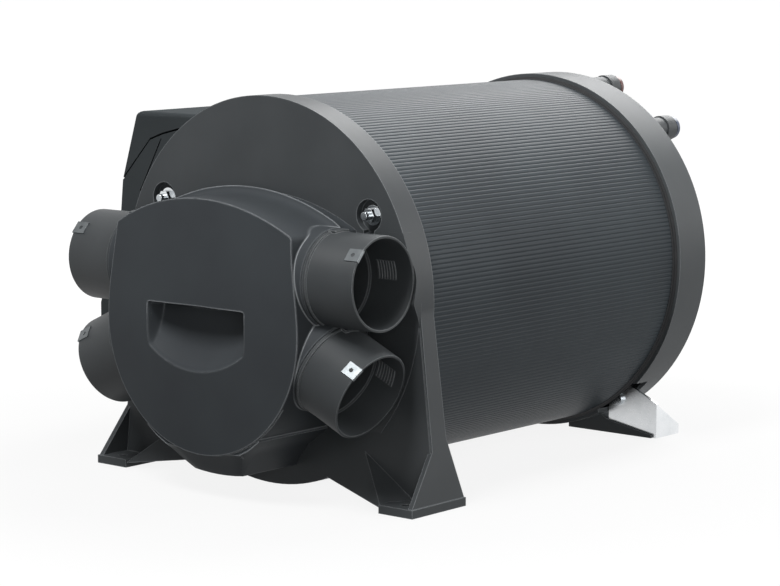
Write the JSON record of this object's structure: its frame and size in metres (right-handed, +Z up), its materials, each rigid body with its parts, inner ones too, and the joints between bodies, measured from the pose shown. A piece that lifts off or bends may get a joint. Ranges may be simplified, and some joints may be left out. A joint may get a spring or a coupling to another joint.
{
  "type": "caravan water heater",
  "caption": "Horizontal drum heater for caravans: fluted jacket, front air hood with round duct outlets, side burner box, rear water sockets and floor feet.",
  "frame": {"origin": "on the floor plane under the feet, midway between the two front foot screw holes", "axes": "+X to the object's right seen from the front, +Y from the front hood to the rear water sockets along the drum, +Z up"},
  "size_m": [0.451, 0.5061, 0.301],
  "materials": {
    "housing_plastic": "fine moulded grain, dark grey",
    "hood_plastic": "smooth moulded, dark grey",
    "outlet_plastic": "smooth moulded, dark grey",
    "zinc_sheet": "zinc plated spring sheet",
    "zinc_steel": "bright zinc plated",
    "chrome_nut": "bright plated",
    "jacket_sheet": "fluted extruded sheet, satin grey",
    "foam": "moulded bead foam",
    "steel_sheet": "rolled sheet",
    "stainless": "stainless, brushed",
    "brass": "turned",
    "cast_aluminium": "die cast",
    "heat_steel": "heat tinted stainless",
    "copper": "drawn copper tube",
    "rubber": "matt black",
    "motor_paint": "black powder coat",
    "fan_plastic": "moulded",
    "red_plastic": "moulded, red",
    "blue_plastic": "moulded, blue",
    "bracket_sheet": "bare folded sheet",
    "box_plastic": "moulded, dark grey",
    "board": "green solder mask",
    "board_black": "moulded connectors"
  },
  "bodies": {
    "heater": {"front_housing": "housing_plastic", "air_hood": "hood_plastic", "duct_outlet_upper_right": "outlet_plastic", "duct_outlet_upper_left": "outlet_plastic", "duct_outlet_lower_right": "outlet_plastic", "duct_outlet_lower_left": "outlet_plastic", "duct_clips": "zinc_sheet", "front_studs": "zinc_steel", "front_nuts": "chrome_nut", "jacket": "jacket_sheet", "foam_sleeve": "foam", "front_bulkhead": "steel_sheet", "water_tank": "stainless", "tank_sensor": "brass", "heat_exchanger": "cast_aluminium", "flame_tube": "heat_steel", "burner_head": "cast_aluminium", "glow_plug": "steel_sheet", "burner_air_pipe": "cast_aluminium", "exhaust_pipe": "heat_steel", "fuel_pipe": "copper", "fuel_valve": "zinc_steel", "rear_seal": "rubber", "rear_cap": "housing_plastic", "intake_grille": "hood_plastic", "fan_bracket": "steel_sheet", "fan_motor": "motor_paint", "hot_water_socket": "hood_plastic", "cold_water_socket": "hood_plastic", "hot_water_pipe": "stainless", "cold_water_pipe": "stainless", "rear_foot_right": "bracket_sheet", "rear_foot_left": "bracket_sheet", "rear_foot_screws": "zinc_steel", "side_box": "box_plastic", "blower_housing": "cast_aluminium", "blower_motor": "motor_paint", "combustion_air_pipe": "hood_plastic", "control_board": "board", "board_parts": "board_black", "board_screws": "zinc_steel", "cable_grommet": "rubber"},
    "fan_rotor": {"circulation_fan": "fan_plastic", "fan_shaft": "steel_sheet"},
    "blower_rotor": {"blower_wheel": "fan_plastic", "blower_shaft": "steel_sheet"},
    "lid": {"service_lid": "box_plastic"},
    "hot_ring": {"hot_release_ring": "red_plastic"},
    "cold_ring": {"cold_release_ring": "blue_plastic"}
  },
  "joints": [
    {"name": "circulation_fan_spin", "type": "hinge", "parent": "heater", "child": "fan_rotor", "pos_m": [0, 0.3693, 0.151], "axis": [0, 1, 0], "continuous": true},
    {"name": "burner_blower_spin", "type": "hinge", "parent": "heater", "child": "blower_rotor", "pos_m": [-0.218, 0.3173, 0.116], "axis": [0, 1, 0], "continuous": true},
    {"name": "service_lid_lift", "type": "slide", "parent": "heater", "child": "lid", "axis": [-0.45, 0, 0.893], "range_m": [0, 0.12]},
    {"name": "hot_release_press", "type": "slide", "parent": "heater", "child": "hot_ring", "axis": [0, -1, 0], "range_m": [0, 0.0018], "stiffness_N_per_m": 400},
    {"name": "cold_release_press", "type": "slide", "parent": "heater", "child": "cold_ring", "axis": [0, -1, 0], "range_m": [0, 0.0018], "stiffness_N_per_m": 400}
  ]
}
